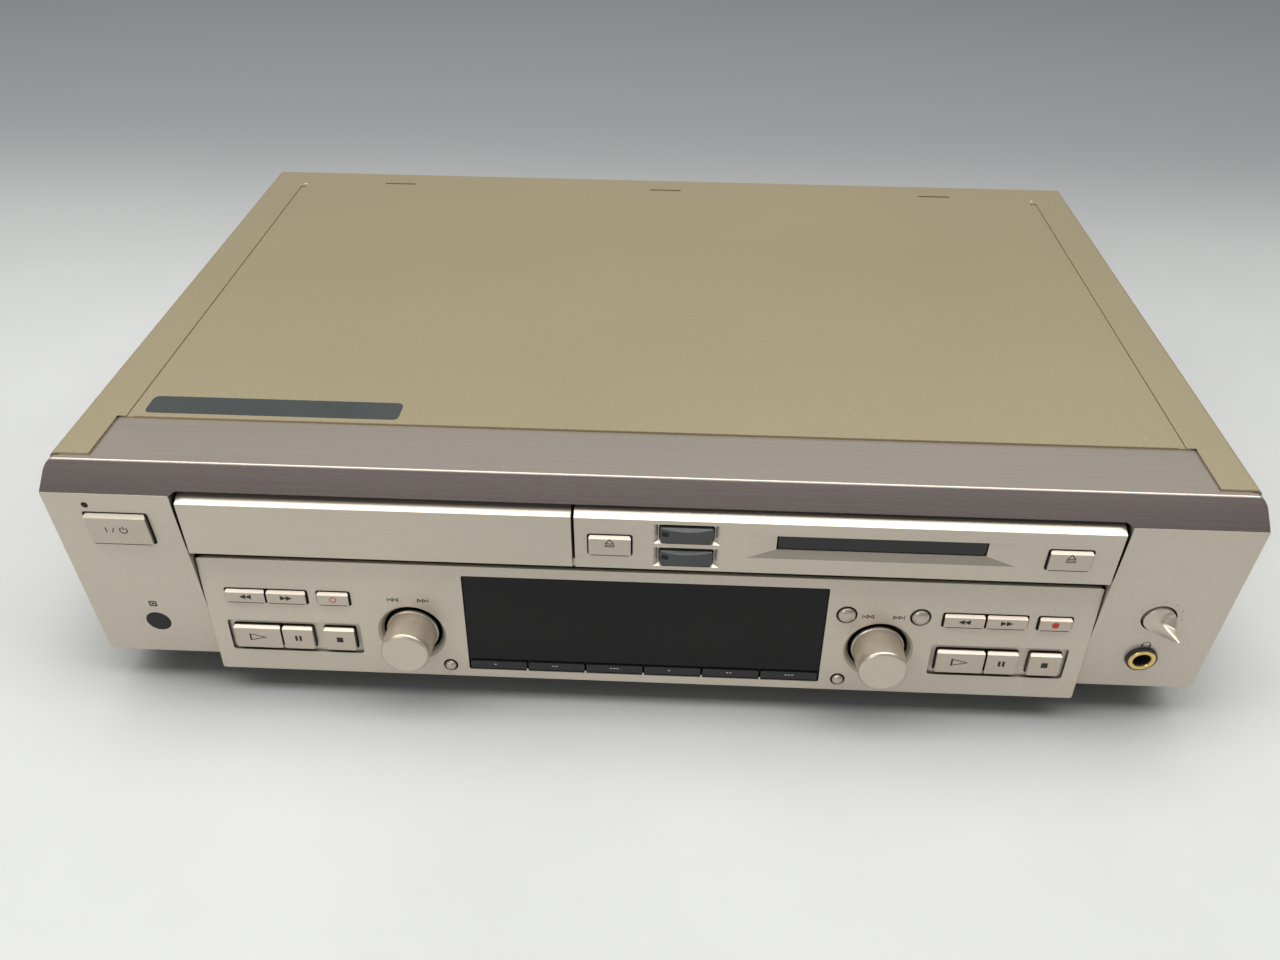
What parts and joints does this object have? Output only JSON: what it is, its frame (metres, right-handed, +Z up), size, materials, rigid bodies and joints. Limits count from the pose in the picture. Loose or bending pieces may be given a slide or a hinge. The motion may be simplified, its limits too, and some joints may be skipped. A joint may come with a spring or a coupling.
{
  "type": "minidisc deck",
  "caption": "Full-width hi-fi deck with a compact disc drawer, a minidisc slot, a wide display, jog knobs and sprung keys, inside a sheet metal case on round feet.",
  "frame": {"origin": "on the floor, in the middle of the box around the whole deck", "axes": "+X to the right along the front, +Y to the back, +Z up"},
  "size_m": [0.43, 0.2932, 0.1074],
  "materials": {
    "cover_paint": "fine satin champagne paint",
    "cap_metal": "brushed along the width, with a purplish grey tint",
    "panel_plastic": "satin champagne, metallic",
    "key_plastic": "satin champagne, metallic",
    "dark_key": "dark grey, satin",
    "slate_key": "slate grey, satin",
    "window": "smoked, clear and glossy",
    "lens": "dark red, glossy",
    "sheet_steel": "zinc plated",
    "black_plastic": "moulded, matt",
    "rubber_grey": "matt",
    "screw_steel": "blackened",
    "gold": "gilt, polished",
    "core": "laminated core, varnished",
    "board": "green solder mask",
    "gear_plastic": "natural acetal"
  },
  "bodies": {
    "case": {"top_cover": "cover_paint", "front_cap": "cap_metal", "front_panel": "panel_plastic", "control_plate": "panel_plastic", "md_panel": "panel_plastic", "chassis": "sheet_steel", "rear_panel": "cover_paint", "feet": "rubber_grey", "screws": "screw_steel", "display_window": "window", "front_lenses": "lens", "phones_jack": "gold", "line_sockets": "black_plastic", "mains_bushing": "black_plastic", "transformer": "core", "circuit_boards": "board", "loader_frame": "black_plastic", "loading_motor": "sheet_steel", "md_frame": "sheet_steel"},
    "drawer": {"cd_tray": "black_plastic", "tray_door": "panel_plastic"},
    "drive_gear": {"drive_gear": "gear_plastic"},
    "lift_base": {"lift_base": "sheet_steel"},
    "spindle": {"spindle": "sheet_steel"},
    "pickup": {"pickup": "black_plastic"},
    "clamper": {"clamper": "black_plastic"},
    "md_flap": {"md_flap": "black_plastic"},
    "md_holder": {"md_holder": "sheet_steel"},
    "power_key": {"power_key": "key_plastic"},
    "phone_level_knob": {"phone_level_knob": "key_plastic"},
    "cd_rewind_key": {"cd_rewind_key": "key_plastic"},
    "cd_forward_key": {"cd_forward_key": "key_plastic"},
    "cd_record_key": {"cd_record_key": "key_plastic"},
    "cd_play_key": {"cd_play_key": "key_plastic"},
    "cd_pause_key": {"cd_pause_key": "key_plastic"},
    "cd_stop_key": {"cd_stop_key": "key_plastic"},
    "md_rewind_key": {"md_rewind_key": "key_plastic"},
    "md_forward_key": {"md_forward_key": "key_plastic"},
    "md_record_key": {"md_record_key": "key_plastic"},
    "md_play_key": {"md_play_key": "key_plastic"},
    "md_pause_key": {"md_pause_key": "key_plastic"},
    "md_stop_key": {"md_stop_key": "key_plastic"},
    "menu_key": {"menu_key": "key_plastic"},
    "yes_key": {"yes_key": "key_plastic"},
    "cd_clear_key": {"cd_clear_key": "key_plastic"},
    "md_clear_key": {"md_clear_key": "key_plastic"},
    "display_key_1": {"display_key_1": "dark_key"},
    "display_key_2": {"display_key_2": "dark_key"},
    "display_key_3": {"display_key_3": "dark_key"},
    "display_key_4": {"display_key_4": "dark_key"},
    "display_key_5": {"display_key_5": "dark_key"},
    "display_key_6": {"display_key_6": "dark_key"},
    "open_close_key": {"open_close_key": "key_plastic"},
    "eject_key": {"eject_key": "key_plastic"},
    "sync_normal_key": {"sync_normal_key": "slate_key"},
    "sync_high_key": {"sync_high_key": "slate_key"},
    "cd_jog_rotor": {"cd_jog_rotor": "black_plastic"},
    "md_jog_rotor": {"md_jog_rotor": "black_plastic"},
    "cd_jog_knob": {"cd_jog_knob": "key_plastic"},
    "md_jog_knob": {"md_jog_knob": "key_plastic"}
  },
  "joints": [
    {"name": "drawer_slide", "type": "slide", "parent": "case", "child": "drawer", "axis": [0, -1, 0], "range_m": [0, 0.14]},
    {"name": "drive_gear_spin", "type": "hinge", "parent": "case", "child": "drive_gear", "pos_m": [-0.0506, -0.10138, 0.073], "axis": [0, 0, 1], "range_deg": [0, 803]},
    {"name": "lift_base_tilt", "type": "hinge", "parent": "case", "child": "lift_base", "pos_m": [-0.0966, 0.03362, 0.069], "axis": [1, 0, 0], "range_deg": [0, 6.05]},
    {"name": "spindle_spin", "type": "hinge", "parent": "lift_base", "child": "spindle", "pos_m": [-0.0966, -0.05638, 0.069], "axis": [0, 0, 1], "continuous": true},
    {"name": "clamper_spin", "type": "hinge", "parent": "case", "child": "clamper", "pos_m": [-0.0966, -0.05638, 0.0945], "axis": [0, 0, 1], "continuous": true},
    {"name": "pickup_slide", "type": "slide", "parent": "lift_base", "child": "pickup", "axis": [0, 1, 0], "range_m": [0, 0.035]},
    {"name": "md_flap_swing", "type": "hinge", "parent": "case", "child": "md_flap", "pos_m": [0.0841, -0.13034, 0.0904], "axis": [1, 0, 0], "range_deg": [0, 85], "stiffness_Nm_per_rad": 0.001},
    {"name": "md_holder_drop", "type": "slide", "parent": "case", "child": "md_holder", "axis": [0, 0, -1], "range_m": [0, 0.004]},
    {"name": "power_key_press", "type": "slide", "parent": "case", "child": "power_key", "axis": [0, 1, 0], "range_m": [0, 0.002], "stiffness_N_per_m": 300},
    {"name": "phone_level_turn", "type": "hinge", "parent": "case", "child": "phone_level_knob", "pos_m": [0.1908, -0.13138, 0.0546], "axis": [0, -1, 0], "range_deg": [-150, 150]},
    {"name": "cd_rewind_key_press", "type": "slide", "parent": "case", "child": "cd_rewind_key", "axis": [0, 0.9923, -0.1236], "range_m": [0, 0.001], "stiffness_N_per_m": 300},
    {"name": "cd_forward_key_press", "type": "slide", "parent": "case", "child": "cd_forward_key", "axis": [0, 0.9923, -0.1236], "range_m": [0, 0.001], "stiffness_N_per_m": 300},
    {"name": "cd_record_key_press", "type": "slide", "parent": "case", "child": "cd_record_key", "axis": [0, 0.9923, -0.1236], "range_m": [0, 0.001], "stiffness_N_per_m": 300},
    {"name": "cd_play_key_press", "type": "slide", "parent": "case", "child": "cd_play_key", "axis": [0, 0.9923, -0.1236], "range_m": [0, 0.001], "stiffness_N_per_m": 300},
    {"name": "cd_pause_key_press", "type": "slide", "parent": "case", "child": "cd_pause_key", "axis": [0, 0.9923, -0.1236], "range_m": [0, 0.001], "stiffness_N_per_m": 300},
    {"name": "cd_stop_key_press", "type": "slide", "parent": "case", "child": "cd_stop_key", "axis": [0, 0.9923, -0.1236], "range_m": [0, 0.001], "stiffness_N_per_m": 300},
    {"name": "md_rewind_key_press", "type": "slide", "parent": "case", "child": "md_rewind_key", "axis": [0, 0.9923, -0.1236], "range_m": [0, 0.001], "stiffness_N_per_m": 300},
    {"name": "md_forward_key_press", "type": "slide", "parent": "case", "child": "md_forward_key", "axis": [0, 0.9923, -0.1236], "range_m": [0, 0.001], "stiffness_N_per_m": 300},
    {"name": "md_record_key_press", "type": "slide", "parent": "case", "child": "md_record_key", "axis": [0, 0.9923, -0.1236], "range_m": [0, 0.001], "stiffness_N_per_m": 300},
    {"name": "md_play_key_press", "type": "slide", "parent": "case", "child": "md_play_key", "axis": [0, 0.9923, -0.1236], "range_m": [0, 0.001], "stiffness_N_per_m": 300},
    {"name": "md_pause_key_press", "type": "slide", "parent": "case", "child": "md_pause_key", "axis": [0, 0.9923, -0.1236], "range_m": [0, 0.001], "stiffness_N_per_m": 300},
    {"name": "md_stop_key_press", "type": "slide", "parent": "case", "child": "md_stop_key", "axis": [0, 0.9923, -0.1236], "range_m": [0, 0.001], "stiffness_N_per_m": 300},
    {"name": "menu_key_press", "type": "slide", "parent": "case", "child": "menu_key", "axis": [0, 0.9923, -0.1236], "range_m": [0, 0.001], "stiffness_N_per_m": 300},
    {"name": "yes_key_press", "type": "slide", "parent": "case", "child": "yes_key", "axis": [0, 0.9923, -0.1236], "range_m": [0, 0.001], "stiffness_N_per_m": 300},
    {"name": "cd_clear_key_press", "type": "slide", "parent": "case", "child": "cd_clear_key", "axis": [0, 0.9923, -0.1236], "range_m": [0, 0.001], "stiffness_N_per_m": 300},
    {"name": "md_clear_key_press", "type": "slide", "parent": "case", "child": "md_clear_key", "axis": [0, 0.9923, -0.1236], "range_m": [0, 0.001], "stiffness_N_per_m": 300},
    {"name": "display_key_1_press", "type": "slide", "parent": "case", "child": "display_key_1", "axis": [0, 0.9923, -0.1236], "range_m": [0, 0.001], "stiffness_N_per_m": 300},
    {"name": "display_key_2_press", "type": "slide", "parent": "case", "child": "display_key_2", "axis": [0, 0.9923, -0.1236], "range_m": [0, 0.001], "stiffness_N_per_m": 300},
    {"name": "display_key_3_press", "type": "slide", "parent": "case", "child": "display_key_3", "axis": [0, 0.9923, -0.1236], "range_m": [0, 0.001], "stiffness_N_per_m": 300},
    {"name": "display_key_4_press", "type": "slide", "parent": "case", "child": "display_key_4", "axis": [0, 0.9923, -0.1236], "range_m": [0, 0.001], "stiffness_N_per_m": 300},
    {"name": "display_key_5_press", "type": "slide", "parent": "case", "child": "display_key_5", "axis": [0, 0.9923, -0.1236], "range_m": [0, 0.001], "stiffness_N_per_m": 300},
    {"name": "display_key_6_press", "type": "slide", "parent": "case", "child": "display_key_6", "axis": [0, 0.9923, -0.1236], "range_m": [0, 0.001], "stiffness_N_per_m": 300},
    {"name": "open_close_key_press", "type": "slide", "parent": "case", "child": "open_close_key", "axis": [0, 0.9986, -0.0523], "range_m": [0, 0.001], "stiffness_N_per_m": 300},
    {"name": "eject_key_press", "type": "slide", "parent": "case", "child": "eject_key", "axis": [0, 0.9986, -0.0523], "range_m": [0, 0.001], "stiffness_N_per_m": 300},
    {"name": "sync_normal_key_press", "type": "slide", "parent": "case", "child": "sync_normal_key", "axis": [0, 0.9986, -0.0523], "range_m": [0, 0.001], "stiffness_N_per_m": 300},
    {"name": "sync_high_key_press", "type": "slide", "parent": "case", "child": "sync_high_key", "axis": [0, 0.9986, -0.0523], "range_m": [0, 0.001], "stiffness_N_per_m": 300},
    {"name": "cd_jog_turn", "type": "hinge", "parent": "case", "child": "cd_jog_rotor", "pos_m": [-0.0901, -0.13317, 0.03384], "axis": [0, -0.9923, 0.1236], "continuous": true},
    {"name": "cd_jog_press", "type": "slide", "parent": "cd_jog_rotor", "child": "cd_jog_knob", "axis": [0, 0.9923, -0.1236], "range_m": [0, 0.0008], "stiffness_N_per_m": 600},
    {"name": "md_jog_turn", "type": "hinge", "parent": "case", "child": "md_jog_rotor", "pos_m": [0.0901, -0.13317, 0.03384], "axis": [0, -0.9923, 0.1236], "continuous": true},
    {"name": "md_jog_press", "type": "slide", "parent": "md_jog_rotor", "child": "md_jog_knob", "axis": [0, 0.9923, -0.1236], "range_m": [0, 0.0008], "stiffness_N_per_m": 600}
  ],
  "couplings": [
    {"joint": "drive_gear_spin", "follows": "drawer_slide", "rad_per_m": 100},
    {"joint": "lift_base_tilt", "follows": "drawer_slide", "rad_per_m": 0.748},
    {"joint": "clamper_spin", "follows": "spindle_spin", "ratio": 1}
  ]
}
